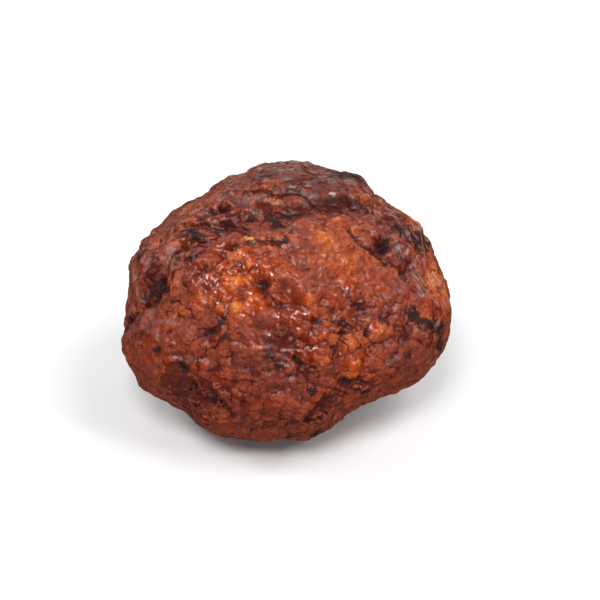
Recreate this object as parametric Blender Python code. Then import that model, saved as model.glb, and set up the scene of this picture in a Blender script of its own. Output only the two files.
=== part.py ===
"""A browned meatball, built as one closed solid.

The body is a slightly flattened ball. Its outline, its lobes, the folds and
cracks between them, its pits and its crumbly grain are each worked out from
named sizes and added to the ball's radius, direction by direction. It rests on
a small flat spot. Metres, +Z up, the front of the meatball faces -Y, and the
origin is on the floor under the middle of the meatball.
"""

import itertools
import math

import bmesh
import bpy
import numpy as np
from mathutils import Vector

MM = 0.001

# Half sizes of the flattened ball, in millimetres: across, front to back, up.
HALF_SIZE = np.array([23.0, 21.0, 18.4])

# How much is taken off underneath, in millimetres, to leave the flat spot that
# it rests on, and how far the relief calms down there.
FOOT_CUT = 0.9
FOOT_CALM = 0.8

# The sphere that is pushed out to the form, and the share of its faces kept.
SPHERE_SUBDIVISIONS = 7
TRIANGLE_SHARE = 0.13

# The front features are laid out in a three-quarter view, from the front and
# this many degrees above the horizon. In it every place is (across, up), in
# millimetres from the middle of the ball.
VIEW_TILT = 33.0

# Half width of the outline in the three-quarter view, in millimetres, at every
# half hour of a clock face, from twelve o'clock onwards.
OUTLINE = [
    19.3, 19.0, 20.0, 19.2, 20.9, 21.5, 22.8, 22.9, 21.4, 18.9, 17.7, 19.1,
    19.3, 19.8, 20.9, 21.0, 23.3, 23.5, 21.7, 22.1, 20.6, 19.1, 18.6, 19.1,
]
OUTLINE_REACH = 3.0

# Lobes: (across, up), half length, half width, turn in degrees, height.
LOBES = {
    "belly": ((-0.7, 2.1), 11.0, 7.5, 12.0, 1.2),
    "belly_top": ((5.5, 6.7), 5.0, 3.6, 20.0, 0.6),
    "crown": ((3.6, 15.5), 9.5, 3.0, -3.0, 0.7),
    "brow": ((-10.1, 12.3), 5.6, 1.7, 24.0, 0.6),
    "upper_slope": ((-14.5, 7.2), 5.0, 1.4, 42.0, 0.5),
    "lower_slope": ((-13.5, 2.6), 5.0, 1.6, 50.0, 0.5),
    "right_shoulder": ((17.0, 9.8), 5.0, 2.2, -46.0, 0.8),
    "left_knob": ((-20.0, 4.9), 3.6, 2.4, 70.0, 0.7),
    "left_cheek": ((-17.4, -6.6), 6.0, 4.4, 110.0, 0.9),
    "chin": ((-4.4, -12.7), 8.5, 4.4, -12.0, 0.9),
    "right_cheek": ((15.1, -7.8), 5.6, 3.0, 14.0, 1.0),
    "belly_low": ((5.4, -7.9), 3.0, 4.2, 30.0, 0.6),
}

# Folds: half width, depth, the height of the lip on the left of the way that
# each runs, and that way.
FOLDS = {
    "saddle": (2.0, 0.65, 0.0, [(-15.6, 8.7), (-8.1, 10.8), (0.0, 11.5), (6.5, 13.1), (11.6, 12.5)]),
    "right_trough": (1.5, 0.8, 0.0, [(11.6, 9.1), (15.0, 6.7), (18.2, 3.8), (19.1, 0.2)]),
    "under_crown": (
        0.6, 0.75, 0.15, [(-4.4, 13.9), (0.6, 14.6), (4.3, 13.6), (9.4, 13.5), (15.6, 13.6)],
    ),
    "crown_top": (
        0.5, 0.25, 0.05, [(-9.7, 16.6), (-4.4, 15.3), (0.6, 16.3), (5.7, 16.1), (9.9, 15.2)],
    ),
    "under_brow": (0.4, 0.8, 0.2, [(-12.8, 10.7), (-11.1, 11.4), (-9.3, 12.6), (-7.3, 12.6)]),
    "slope_upper": (
        0.6, 0.55, 0.30, [(-19.2, 6.3), (-16.5, 8.7), (-14.4, 9.8), (-8.4, 10.1), (-2.8, 8.4)],
    ),
    "slope_middle": (0.6, 0.60, 0.30, [(-21.0, 0.2), (-17.2, 3.5), (-14.7, 6.6), (-10.3, 7.5)]),
    "belly_left": (
        0.6, 0.60, 0.20, [(-16.3, -1.6), (-12.6, 2.2), (-9.9, 4.7), (-6.1, 7.6), (0.2, 7.4)],
    ),
    "left_notch": (0.45, 0.9, 0.0, [(-22.2, -3.5), (-21.2, -2.4), (-18.3, -0.4), (-14.8, 1.7)]),
    "cheek_crack": (
        0.4, 0.35, 0.1, [(-19.5, -5.5), (-17.0, -4.9), (-15.4, -6.7), (-13.9, -7.5), (-11.4, -6.6)],
    ),
    "belly_right": (
        0.6, 0.65, 0.10, [(7.8, 10.5), (10.7, 7.3), (13.4, 5.6), (16.8, 3.3), (18.1, 0.5)],
    ),
    "shoulder_band": (0.7, 0.65, 0.20, [(9.7, 12.8), (13.4, 12.0), (17.2, 9.3), (20.1, 6.0)]),
    "cheek_top": (
        0.6, 0.5, 0.1, [(10.3, -9.5), (11.3, -7.0), (13.6, -5.3), (16.7, -5.3), (20.8, -6.7)],
    ),
    "cheek_under": (0.7, 0.55, 0.1, [(10.7, -9.9), (8.5, -13.0), (5.8, -15.0), (4.8, -16.8)]),
    "chin_left": (0.5, 0.4, 0.1, [(-9.2, -9.8), (-7.1, -12.0), (-5.0, -13.0), (-4.8, -16.6)]),
    "jaw": (1.2, 0.45, 0.0, [(-13.8, -10.8), (-12.3, -11.7), (-9.1, -12.9), (-7.5, -15.7)]),
    "belly_crack": (0.4, 0.4, 0.1, [(-5.3, -4.4), (-6.3, -6.3), (-8.2, -8.6), (-9.9, -10.0)]),
    "middle_crack": (0.4, 0.6, 0.0, [(-2.6, 1.4), (-1.7, -0.6), (0.2, -0.8), (2.5, -0.4)]),
    "belly_slit": (0.35, 0.9, 0.0, [(0.8, -7.2), (1.7, -8.2), (2.7, -9.1)]),
    "belly_seam": (0.5, 0.4, 0.1, [(4.5, 0.8), (6.3, -1.5), (7.6, -4.4), (7.0, -7.1)]),
}

# Pits: (across, up), half width, depth.
PITS = {
    "middle": ((-2.8, 2.1), 0.8, 1.3),
    "shoulder": ((13.3, 6.9), 1.1, 1.2),
    "brow": ((-9.7, 12.4), 0.7, 0.9),
    "cheek": ((-9.8, -4.4), 0.9, 0.7),
    "right_edge": ((21.1, -6.1), 1.3, 1.3),
    "upper_slope": ((-17.0, 1.8), 1.2, 0.7),
    "crown_notch": ((14.9, 13.9), 0.8, 0.5),
    "lower_front": ((1.9, -9.9), 1.0, 0.5),
}

# Relief that runs all over: size of one wave or grain, and its height.
SWELL = (13.0, 0.8)
WRINKLE = (7.0, 0.7)
BILLOWS = ((8.0, 0.5), (4.4, 0.4), (2.4, 0.22))
LUMP = (3.4, 0.32)
WOBBLE = (3.0, 0.6)


def three_quarter_axes():
    """The view's right, up and nearer directions as unit vectors."""
    tilt = math.radians(VIEW_TILT)
    right = np.array([1.0, 0.0, 0.0])
    up = np.array([0.0, math.sin(tilt), math.cos(tilt)])
    nearer = np.array([0.0, -math.cos(tilt), math.sin(tilt)])
    return right, up, nearer


def on_ball(places):
    """Points of the plain ball seen at (across, up) places of the three-quarter view.

    A place p is moved along the view's line of sight by t, where
    |(p + t n) / half size| = 1. One outside the outline is drawn in to it.
    """
    right, up, nearer = three_quarter_axes()
    places = np.atleast_2d(np.array(places, float))
    start = (places[:, :1] * right + places[:, 1:] * up) / HALF_SIZE
    step = nearer / HALF_SIZE
    a = step @ step
    b = start @ step
    c = (start * start).sum(1) - 1.0
    t = (-b + np.sqrt(np.maximum(b * b - a * c, 0.0))) / a
    points = start + t[:, None] * step
    return points / np.linalg.norm(points, axis=1)[:, None] * HALF_SIZE


class Lattice:
    """Seeded gradient noise and grains on a unit lattice."""

    def __init__(self, seed):
        draw = np.random.default_rng(seed)
        self.order = draw.permutation(256)
        self.spots = draw.random((256, 3))
        arrows = draw.normal(size=(256, 3))
        self.arrows = arrows / np.linalg.norm(arrows, axis=1)[:, None]

    def index(self, cells):
        x, y, z = (cells % 256).T
        return self.order[(self.order[(self.order[x] + y) % 256] + z) % 256]

    def waves(self, points, size):
        """Smooth noise from -1 to 1: corner slopes, blended by 6t^5 - 15t^4 + 10t^3."""
        p = points / size
        cells = np.floor(p).astype(int)
        f = p - cells
        blend = f * f * f * (f * (f * 6.0 - 15.0) + 10.0)
        total = np.zeros(len(p))
        for corner in itertools.product((0, 1), repeat=3):
            corner = np.array(corner)
            slope = (self.arrows[self.index(cells + corner)] * (f - corner)).sum(1)
            total += np.where(corner, blend, 1.0 - blend).prod(1) * slope
        return total * 1.6

    def grains(self, points, size):
        """Distances to the nearest and second nearest scattered spot, in grain sizes."""
        p = points / size
        cells = np.floor(p).astype(int)
        near = np.full((2, len(p)), 9.0)
        for neighbour in itertools.product((-1, 0, 1), repeat=3):
            there = cells + np.array(neighbour)
            gap = np.linalg.norm(there + self.spots[self.index(there)] - p, axis=1)
            near = np.sort(np.vstack([near, gap[None]]), axis=0)[:2]
        return near


SWELL_NOISE = Lattice(3)
WRINKLE_NOISE = Lattice(11)
BILLOW_NOISE = Lattice(17)
GRAIN_NOISE = Lattice(23)
WOBBLE_NOISE = Lattice(41)


def smooth(low, high, value):
    """0 below low and 1 above high, by 3t^2 - 2t^3 in between."""
    t = np.clip((value - low) / (high - low), 0.0, 1.0)
    return t * t * (3.0 - 2.0 * t)


def cubic(p0, p1, p2, p3, f):
    """The Catmull-Rom curve from p1 (f = 0) to p2 (f = 1), with p0 before it and p3 after it."""
    bend = 2.0 * p0 - 5.0 * p1 + 4.0 * p2 - p3
    turn = 3.0 * (p1 - p2) + p3 - p0
    return p1 + 0.5 * f * (p2 - p0 + f * (bend + f * turn))


def outline_share(ways):
    """How far the outline pushes each direction out, as a share of the plain ball's radius.

    The half widths round the clock are joined by a closed cubic, divided by the
    plain ball's own outline, and fade from the outline to the middle of the view.
    """
    right, up, nearer = three_quarter_axes()
    x, y, z = ways @ right, ways @ up, ways @ nearer
    widths = np.array(OUTLINE)
    hour = np.arctan2(x, y) / (2.0 * math.pi) * len(widths) % len(widths)
    k = np.floor(hour).astype(int)
    f = hour - k
    p0, p1, p2, p3 = (widths[(k + i) % len(widths)] for i in (-1, 0, 1, 2))
    width = cubic(p0, p1, p2, p3, f)
    half_up = math.hypot(*(HALF_SIZE[1:] * up[1:]))
    edge = np.hypot(x, y)
    safe = np.maximum(edge, 1e-6)
    plain = 1.0 / np.hypot(x / safe / HALF_SIZE[0], y / safe / half_up)
    return (width / plain - 1.0) * edge**OUTLINE_REACH


def lobe(points, place, half_length, half_width, turn, height):
    """A rounded swelling: height times exp(-q^2), q the distance in half lengths and widths."""
    middle = on_ball(place)[0]
    out = middle / np.linalg.norm(middle)
    right, up, _ = three_quarter_axes()
    turned = math.radians(turn)
    along = math.cos(turned) * right + math.sin(turned) * up
    along = along - (along @ out) * out
    along /= np.linalg.norm(along)
    aside = np.cross(out, along)
    away = points - middle
    q = ((away @ along) / half_length) ** 2 + ((away @ aside) / half_width) ** 2
    q = q + ((away @ out) / half_length) ** 2
    return height * np.exp(-q)


def through(places, step=1.0):
    """Places about one step apart on a smooth curve through the given ones (Catmull-Rom)."""
    places = np.array(places, float)
    ends = np.vstack([2 * places[0] - places[1], places, 2 * places[-1] - places[-2]])
    curve = []
    for p0, p1, p2, p3 in zip(ends, ends[1:], ends[2:], ends[3:]):
        count = max(2, round(np.linalg.norm(p2 - p1) / step))
        f = (np.arange(count) / count)[:, None]
        curve.append(cubic(p0, p1, p2, p3, f))
    return np.vstack(curve + [places[-1:]])


def fold(points, route, half_width, depth, lip):
    """A valley along a route, with a raised lip on its left.

    With s the distance from the route in half widths, it is
    -depth exp(-s^2) + lip exp(-(s - 2)^2 / 2) on the left, and fades out at
    both ends of the route.
    """
    path = on_ball(through(route))
    best = np.full(len(points), 1e9)
    share = np.zeros(len(points))
    left = np.zeros(len(points))
    for k, (a, b) in enumerate(zip(path, path[1:])):
        run = b - a
        t = np.clip((points - a) @ run / (run @ run), 0.0, 1.0)
        away = points - a - t[:, None] * run
        gap = (away * away).sum(1)
        nearer = gap < best
        best = np.where(nearer, gap, best)
        share = np.where(nearer, (k + t) / (len(path) - 1), share)
        aside = np.cross(a, run)
        left = np.where(nearer, away @ aside / np.linalg.norm(aside), left)
    s = np.sqrt(best) / half_width
    fade = smooth(0.0, 0.12, share) * smooth(0.0, 0.12, 1.0 - share)
    lips = np.where(left > 0.0, np.exp(-((s - 2.0) ** 2) / 2.0), 0.0)
    return fade * (lip * lips * smooth(0.0, 1.0, s) - depth * np.exp(-s * s))


def relief(points):
    """Height over the plain ball at each of its points, in millimetres.

    It is the sum of the broad swell and creases, billows |noise| of falling
    size, rounded lumps in patches, the lobes, the folds and the pits, and it
    calms down towards the flat spot underneath.
    """
    size, reach = WOBBLE
    shaken = points + reach * np.stack(
        [WOBBLE_NOISE.waves(points + 50.0 * k, size) for k in range(3)], axis=1
    )
    hidden = hidden_share(points)
    height = SWELL[1] * SWELL_NOISE.waves(points, SWELL[0]) * hidden
    creases = 1.0 - np.abs(WRINKLE_NOISE.waves(shaken, WRINKLE[0]))
    height -= WRINKLE[1] * smooth(0.72, 1.0, creases) * (0.35 + 0.65 * hidden)
    for size, rise in BILLOWS:
        height += rise * (np.abs(BILLOW_NOISE.waves(shaken, size)) - 0.3)
    nearest, second = GRAIN_NOISE.grains(shaken, LUMP[0])
    patch = smooth(-0.4, 0.5, SWELL_NOISE.waves(points, LUMP[0] * 3.0))
    gap = 1.0 - smooth(0.0, 0.35, second - nearest)
    height += LUMP[1] * patch * (0.5 - nearest**2 - 0.4 * gap)
    for place, half_length, half_width, turn, rise in LOBES.values():
        height += lobe(points, place, half_length, half_width, turn, rise)
    for half_width, depth, lip, route in FOLDS.values():
        height += fold(shaken, route, half_width, depth, lip)
    for place, half_width, depth in PITS.values():
        height += lobe(shaken, place, half_width, half_width, 0.0, -depth)
    underneath = smooth(0.8, 0.98, -points[:, 2] / HALF_SIZE[2])
    return height * (1.0 - FOOT_CALM * underneath)


def hidden_share(points):
    """0 where the front features are, and 1 on the far side and underneath."""
    _, _, nearer = three_quarter_axes()
    return smooth(-0.1, 0.25, -(points @ nearer) / HALF_SIZE.mean())


def meatball_points(ways):
    """The surface point in each direction, in millimetres from the ball's middle."""
    plain = ways / np.linalg.norm(ways / HALF_SIZE, axis=1)[:, None]
    radius = np.linalg.norm(plain, axis=1) * (1.0 + outline_share(ways)) + relief(plain)
    return ways * radius[:, None]


def browned_crust():
    """Deep red-brown, slightly greasy crust."""
    material = bpy.data.materials.new("browned_crust")
    material.use_nodes = True
    shader = material.node_tree.nodes["Principled BSDF"]
    shader.inputs["Base Color"].default_value = (0.24, 0.055, 0.03, 1.0)
    shader.inputs["Roughness"].default_value = 0.4
    shader.inputs["Metallic"].default_value = 0.0
    return material


def pushed_out_sphere():
    """A fine sphere pushed out to the form, in metres, with fewer faces where it is smooth."""
    mesh = bpy.data.meshes.new("fine_form")
    sphere = bmesh.new()
    bmesh.ops.create_icosphere(sphere, subdivisions=SPHERE_SUBDIVISIONS, radius=1.0)
    sphere.to_mesh(mesh)
    sphere.free()
    ways = np.empty(len(mesh.vertices) * 3)
    mesh.vertices.foreach_get("co", ways)
    ways = ways.reshape(-1, 3)
    points = meatball_points(ways / np.linalg.norm(ways, axis=1)[:, None])
    mesh.vertices.foreach_set("co", (points * MM).ravel())
    form = bpy.data.objects.new("fine_form", mesh)
    bpy.context.scene.collection.objects.link(form)
    fewer = form.modifiers.new("fewer_faces", "DECIMATE")
    fewer.ratio = TRIANGLE_SHARE
    evaluated = form.evaluated_get(bpy.context.evaluated_depsgraph_get())
    thinned = bpy.data.meshes.new_from_object(evaluated)
    bpy.data.objects.remove(form)
    bpy.data.meshes.remove(mesh)
    return thinned


def meatball():
    """The whole meatball: the pushed-out sphere cut flat underneath, then stood on the origin."""
    mesh = pushed_out_sphere()
    mesh.name = "meatball"
    solid = bmesh.new()
    solid.from_mesh(mesh)
    floor = min(vertex.co.z for vertex in solid.verts) + FOOT_CUT * MM
    cut = bmesh.ops.bisect_plane(
        solid,
        geom=solid.verts[:] + solid.edges[:] + solid.faces[:],
        dist=MM * 1e-4,
        plane_co=(0.0, 0.0, floor),
        plane_no=(0.0, 0.0, -1.0),
        clear_outer=True,
    )
    rim = [piece for piece in cut["geom_cut"] if isinstance(piece, bmesh.types.BMEdge)]
    bmesh.ops.triangle_fill(solid, edges=rim, use_beauty=True, normal=(0.0, 0.0, -1.0))
    corners = np.array([vertex.co for vertex in solid.verts])
    low, high = corners.min(0), corners.max(0)
    to_origin = -Vector(((low[0] + high[0]) / 2.0, (low[1] + high[1]) / 2.0, floor))
    bmesh.ops.translate(solid, verts=solid.verts[:], vec=to_origin)
    bmesh.ops.recalc_face_normals(solid, faces=solid.faces[:])
    solid.to_mesh(mesh)
    solid.free()
    mesh.materials.append(browned_crust())
    mesh.shade_smooth()
    return bpy.data.objects.new("meatball", mesh)


def main():
    for old in list(bpy.data.objects):
        bpy.data.objects.remove(old)
    collection = bpy.data.collections.new("meatball")
    bpy.context.scene.collection.children.link(collection)
    collection.objects.link(meatball())


main()
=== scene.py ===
"""The looks of the meatball: its fine surface and colours, and the light, floor and camera.

The surface has the form of the solid that it stands for, from the same named
sizes, and adds what is finer: pebbles and grains of minced meat, wrinkles, and
the crevices between them. The colours follow numbers that are worked out at
each point of the surface, and finer noise in the material breaks them up.
"""

import itertools
import math
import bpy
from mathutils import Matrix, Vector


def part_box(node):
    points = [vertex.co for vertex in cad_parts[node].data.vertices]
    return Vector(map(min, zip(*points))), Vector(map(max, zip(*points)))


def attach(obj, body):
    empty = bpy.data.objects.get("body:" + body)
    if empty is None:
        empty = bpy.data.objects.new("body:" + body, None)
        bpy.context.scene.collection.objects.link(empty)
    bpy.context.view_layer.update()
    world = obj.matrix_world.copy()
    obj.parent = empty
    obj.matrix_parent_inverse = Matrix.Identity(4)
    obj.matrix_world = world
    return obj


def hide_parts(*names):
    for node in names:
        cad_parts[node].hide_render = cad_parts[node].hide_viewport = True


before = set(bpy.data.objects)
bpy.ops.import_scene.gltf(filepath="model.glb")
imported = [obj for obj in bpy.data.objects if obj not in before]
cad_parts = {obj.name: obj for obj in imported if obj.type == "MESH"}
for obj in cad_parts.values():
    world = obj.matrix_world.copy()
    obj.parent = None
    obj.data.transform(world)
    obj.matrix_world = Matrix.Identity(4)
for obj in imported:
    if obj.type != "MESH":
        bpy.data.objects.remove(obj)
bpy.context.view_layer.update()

from types import SimpleNamespace

import bpy
import numpy as np
from mathutils import Vector

MM = 0.001
BALL_NODE = "meatball"

# The form, in millimetres, as in the solid.
HALF_SIZE = np.array([23.0, 21.0, 18.4])
FOOT_CUT = 0.9
FOOT_CALM = 0.8

# The front features are laid out in a three-quarter view, from the front and
# this many degrees above the horizon. In it every place is (across, up), in
# millimetres from the middle of the ball.
VIEW_TILT = 33.0

# How far the outline lies from the middle of the view, at every half hour of a
# clock face from twelve onwards, and the power by which it fades inwards.
OUTLINE = [
    19.3, 19.0, 20.0, 19.2, 20.9, 21.5, 22.8, 22.9, 21.4, 18.9, 17.7, 19.1,
    19.3, 19.8, 20.9, 21.0, 23.3, 23.5, 21.7, 22.1, 20.6, 19.1, 18.6, 19.1,
]
OUTLINE_REACH = 3.0

# Lobes: across, up, half length, half width, turn in degrees, height.
LOBES = dict(
    belly=(-0.7, 2.1, 11.0, 7.5, 12, 1.2),
    belly_top=(5.5, 6.7, 5.0, 3.6, 20, 0.6),
    crown=(3.6, 15.5, 9.5, 3.0, -3, 0.7),
    brow=(-10.1, 12.3, 5.6, 1.7, 24, 0.6),
    upper_slope=(-14.5, 7.2, 5.0, 1.4, 42, 0.5),
    lower_slope=(-13.5, 2.6, 5.0, 1.6, 50, 0.5),
    right_shoulder=(17.0, 9.8, 5.0, 2.2, -46, 0.8),
    left_knob=(-20.0, 4.9, 3.6, 2.4, 70, 0.7),
    left_cheek=(-17.4, -6.6, 6.0, 4.4, 110, 0.9),
    chin=(-4.4, -12.7, 8.5, 4.4, -12, 0.9),
    right_cheek=(15.1, -7.8, 5.6, 3.0, 14, 1.0),
    belly_low=(5.4, -7.9, 3.0, 4.2, 30, 0.6),
)

# Folds: half width, depth, the height of the lip on the left of the way that
# each runs, and that way.
FOLDS = dict(
    saddle=(2.0, 0.65, 0.0, [(-15.6, 8.7), (-8.1, 10.8), (0.0, 11.5), (6.5, 13.1), (11.6, 12.5)]),
    right_trough=(1.5, 0.8, 0.0, [(11.6, 9.1), (15.0, 6.7), (18.2, 3.8), (19.1, 0.2)]),
    under_crown=(0.6, 0.75, 0.15, [(-4.4, 13.9), (0.6, 14.6), (4.3, 13.6), (9.4, 13.5), (15.6, 13.6)]),
    crown_top=(0.5, 0.25, 0.05, [(-9.7, 16.6), (-4.4, 15.3), (0.6, 16.3), (5.7, 16.1), (9.9, 15.2)]),
    under_brow=(0.4, 0.8, 0.2, [(-12.8, 10.7), (-11.1, 11.4), (-9.3, 12.6), (-7.3, 12.6)]),
    slope_upper=(0.6, 0.55, 0.3, [(-19.2, 6.3), (-16.5, 8.7), (-14.4, 9.8), (-8.4, 10.1), (-2.8, 8.4)]),
    slope_middle=(0.6, 0.6, 0.3, [(-21.0, 0.2), (-17.2, 3.5), (-14.7, 6.6), (-10.3, 7.5)]),
    belly_left=(0.6, 0.6, 0.2, [(-16.3, -1.6), (-12.6, 2.2), (-9.9, 4.7), (-6.1, 7.6), (0.2, 7.4)]),
    left_notch=(0.45, 0.9, 0.0, [(-22.2, -3.5), (-21.2, -2.4), (-18.3, -0.4), (-14.8, 1.7)]),
    cheek_crack=(
        0.4, 0.35, 0.1, [(-19.5, -5.5), (-17.0, -4.9), (-15.4, -6.7), (-13.9, -7.5), (-11.4, -6.6)],
    ),
    belly_right=(0.6, 0.65, 0.1, [(7.8, 10.5), (10.7, 7.3), (13.4, 5.6), (16.8, 3.3), (18.1, 0.5)]),
    shoulder_band=(0.7, 0.65, 0.2, [(9.7, 12.8), (13.4, 12.0), (17.2, 9.3), (20.1, 6.0)]),
    cheek_top=(0.6, 0.5, 0.1, [(10.3, -9.5), (11.3, -7.0), (13.6, -5.3), (16.7, -5.3), (20.8, -6.7)]),
    cheek_under=(0.7, 0.55, 0.1, [(10.7, -9.9), (8.5, -13.0), (5.8, -15.0), (4.8, -16.8)]),
    chin_left=(0.5, 0.4, 0.1, [(-9.2, -9.8), (-7.1, -12.0), (-5.0, -13.0), (-4.8, -16.6)]),
    jaw=(1.2, 0.45, 0.0, [(-13.8, -10.8), (-12.3, -11.7), (-9.1, -12.9), (-7.5, -15.7)]),
    belly_crack=(0.4, 0.4, 0.1, [(-5.3, -4.4), (-6.3, -6.3), (-8.2, -8.6), (-9.9, -10.0)]),
    middle_crack=(0.4, 0.6, 0.0, [(-2.6, 1.4), (-1.7, -0.6), (0.2, -0.8), (2.5, -0.4)]),
    belly_slit=(0.35, 0.9, 0.0, [(0.8, -7.2), (1.7, -8.2), (2.7, -9.1)]),
    belly_seam=(0.5, 0.4, 0.1, [(4.5, 0.8), (6.3, -1.5), (7.6, -4.4), (7.0, -7.1)]),
)

# The share of its route over which a fold fades out at either end, and the greatest depth of a hollow
# that the colours darken as painted shade.
FOLD_FADE = 0.12
DEEPEST_HOLLOW = 1.5

# Pits: across, up, half width, depth.
PITS = dict(
    middle=(-2.8, 2.1, 0.8, 1.3),
    shoulder=(13.3, 6.9, 1.1, 1.2),
    brow=(-9.7, 12.4, 0.7, 0.9),
    cheek=(-9.8, -4.4, 0.9, 0.7),
    right_edge=(21.1, -6.1, 1.3, 1.3),
    upper_slope=(-17.0, 1.8, 1.2, 0.7),
    crown_notch=(14.9, 13.9, 0.8, 0.5),
    lower_front=(1.9, -9.9, 1.0, 0.5),
)

# Relief that runs all over: size of one wave or grain, and its height.
SWELL = (13.0, 0.8)
WRINKLE = (7.0, 0.7)
BILLOWS = ((8.0, 0.5), (4.4, 0.4), (2.4, 0.22))
LUMP = (3.4, 0.32)

# Noise that shakes the edges of things out of shape: its size, and how far it reaches.
WOBBLE = (3.0, 0.6)
FINE_WOBBLE = (1.1, 0.30)
CHUNK_WOBBLE = (2.2, 0.7)
RAGGED = (1.9, 0.8)

# The fine surface: cells along each side of the six grids, and how much closer
# together they lie in front than behind.
GRID_CELLS = 128
FRONT_PACKING = 0.40

# Domes of minced meat: size of one, its height, and how wide the crevice round
# it is and how deep, as shares of the size and the height.
CHUNK = (2.9, 0.75, 0.14, 0.30)
PEBBLE = (1.35, 0.42, 0.22, 0.30)
GRAIN = (1.75, 1.00, 0.18, 0.20)

# Fine relief of the skin: size of one ridge, ledge, wrinkle or pimple, and its height.
RIDGE = (4.8, 1.90)
LEDGE = (3.0, 0.20)
SKIN = (1.2, 0.17)
PIMPLE = (0.60, 0.13)

# How many times as long as wide the skin's ridges and wrinkles are.
RIDGE_STRETCH = 2.2
SKIN_STRETCH = 5.0

# The mean height of a dome, taken off so that the ball keeps its size.
DOME_MEAN = 0.85

# Noise in the looks, in rows: the points it is read at, the number added to
# them, the size of its waves, and its weight.
WAVES = dict(
    patches=[("points", 30.0, 6.0, 1.0)],
    grooves=[("points", 25.0, 1.6, 1.0)],
    crevices=[("points", 8.0, 3.0, 1.0)],
    wet=[("wobbly", 14.0, 2.4, 1.0)],
    juice=[("points", 15.0, 1.3, 1.0)],
    specks=[("fine", 5.0, 2.6, 1.0), ("fine", 0.0, 1.1, 0.5)],
    char=[("points", 0.0, 1.3, 0.3), ("points", 11.0, 0.6, 0.3)],
    tone=[("wobbly", 0.0, 5.0, 0.14), ("fine", 3.0, 2.2, 0.12)],
    stain=[("wobbly", 60.0, 3.4, 0.6), ("fine", 61.0, 1.6, 0.8), ("points", 62.0, 0.8, 0.6)],
)

# The tables of spots that follow give across, up, half length, half width, turn
# in degrees, and a strength from 0 to 1 or a shift up or down.

# Where the crust is grainy and glazed, and where it is pebbled.
GRAINY = dict(
    belly_left=(-5.9, 3.5, 5.3, 3.4, 14, 1.0),
    belly_low=(-6.7, -0.6, 3.4, 2.0, 0, 0.8),
    middle=(-0.3, 0.0, 3.7, 2.5, -10, 0.8),
    front=(3.9, -4.4, 5.0, 3.9, 20, 0.95),
    front_low=(7.9, -8.6, 3.2, 2.4, 59, 0.35),
    saddle_dots=(-8.1, 6.7, 1.5, 0.8, 45, 0.7),
    left_dots=(-12.8, 4.6, 1.3, 1.0, 13, 0.6),
)
PEBBLED = dict(
    belly_top=(5.5, 6.8, 6.2, 4.7, 4, 1.0),
    right=(12.2, 1.0, 4.9, 3.9, 14, 0.7),
    belly_edge=(-2.6, 7.3, 3.4, 1.6, 3, 0.7),
)

# Shifts of the crust's tone: paler and more orange below zero, browner above it.
TONES = dict(
    belly_left=(-5.7, 4.0, 5.6, 3.1, 16, -0.28),
    belly_low=(-6.7, -0.4, 3.1, 1.3, 5, -0.22),
    belly_top=(6.3, 7.5, 4.2, 3.1, -34, -0.16),
    belly_middle=(7.4, 4.7, 3.0, 1.9, -2, -0.07),
    front_ochre=(8.5, -4.9, 1.5, 1.5, 67, -0.2),
    front_low=(7.9, -9.0, 1.9, 1.6, 65, -0.18),
    right_orange=(12.5, -3.7, 2.1, 1.2, 23, -0.15),
    flank=(20.6, 3.7, 2.1, 1.2, 78, -0.28),
    flank_low=(21.3, 1.4, 2.0, 1.5, 68, -0.22),
    flank_ochre=(18.3, 5.9, 1.1, 0.8, -70, -0.2),
    shoulder=(17.9, 11.6, 2.3, 0.9, -48, -0.62),
    under_crown=(-3.4, 13.4, 2.6, 0.35, 5, -0.4),
    slope=(-13.6, 7.5, 1.6, 0.8, 18, -0.28),
    slope_red=(-17.5, 7.9, 0.6, 0.4, 53, -0.3),
    lens_side=(-14.9, 2.5, 0.9, 0.7, -14, -0.35),
    crown_end=(10.5, 14.2, 2.5, 1.0, 11, -0.16),
    crown_notch=(13.8, 13.5, 1.3, 0.2, -8, -0.35),
    brow_inside=(-10.0, 11.1, 0.8, 0.2, 31, -0.4),
    brow=(-10.3, 14.0, 2.0, 1.4, 2, -0.12),
    left_lump=(-14.0, -1.6, 1.3, 0.9, 5, -0.18),
    left_notch=(-21.3, -1.3, 1.1, 0.6, -36, -0.3),
    tan_fleck=(-4.8, 8.5, 1.3, 0.4, -38, -0.65),
    yellow_fleck=(6.7, 10.7, 0.5, 0.4, 60, -0.4),
    trough_fleck=(9.3, 9.8, 0.6, 0.4, 10, -0.25),
    low_yellow=(-7.8, -9.1, 0.9, 0.5, 2, -0.1),
    chin_pale=(-9.0, -15.3, 1.6, 0.7, 1, -0.15),
    bottom_fleck=(0.0, -13.1, 1.0, 0.8, -4, -0.14),
    front_fleck=(-3.2, -6.1, 0.3, 0.3, 19, -0.5),
    cheek_fleck=(17.0, -7.8, 0.6, 0.3, -23, -0.5),
    edge_fleck=(11.8, -15.9, 0.6, 0.2, -23, -0.5),
    lower_right=(10.5, -11.5, 5.5, 3.5, 25, -0.07),
    crown=(1.9, 15.6, 10.2, 2.3, -6, 0.22),
    saddle=(-1.8, 10.2, 6.2, 1.8, 3, 0.06),
    lower_front=(-1.7, -10.9, 7.6, 4.7, -16, 0.08),
    left_cheek=(-15.6, -6.3, 4.6, 3.9, -69, 0.02),
    right_cheek=(15.4, -7.9, 4.5, 2.7, 19, 0.05),
    right_trough=(15.7, 7.0, 3.3, 1.4, -51, 0.2),
    left_slope=(-15.7, 5.2, 6.8, 4.5, -3, 0.1),
    middle=(-0.7, -4.5, 3.1, 2.5, 89, 0.16),
    middle_left=(-12.1, -4.4, 2.9, 2.0, -5, 0.04),
)

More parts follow.
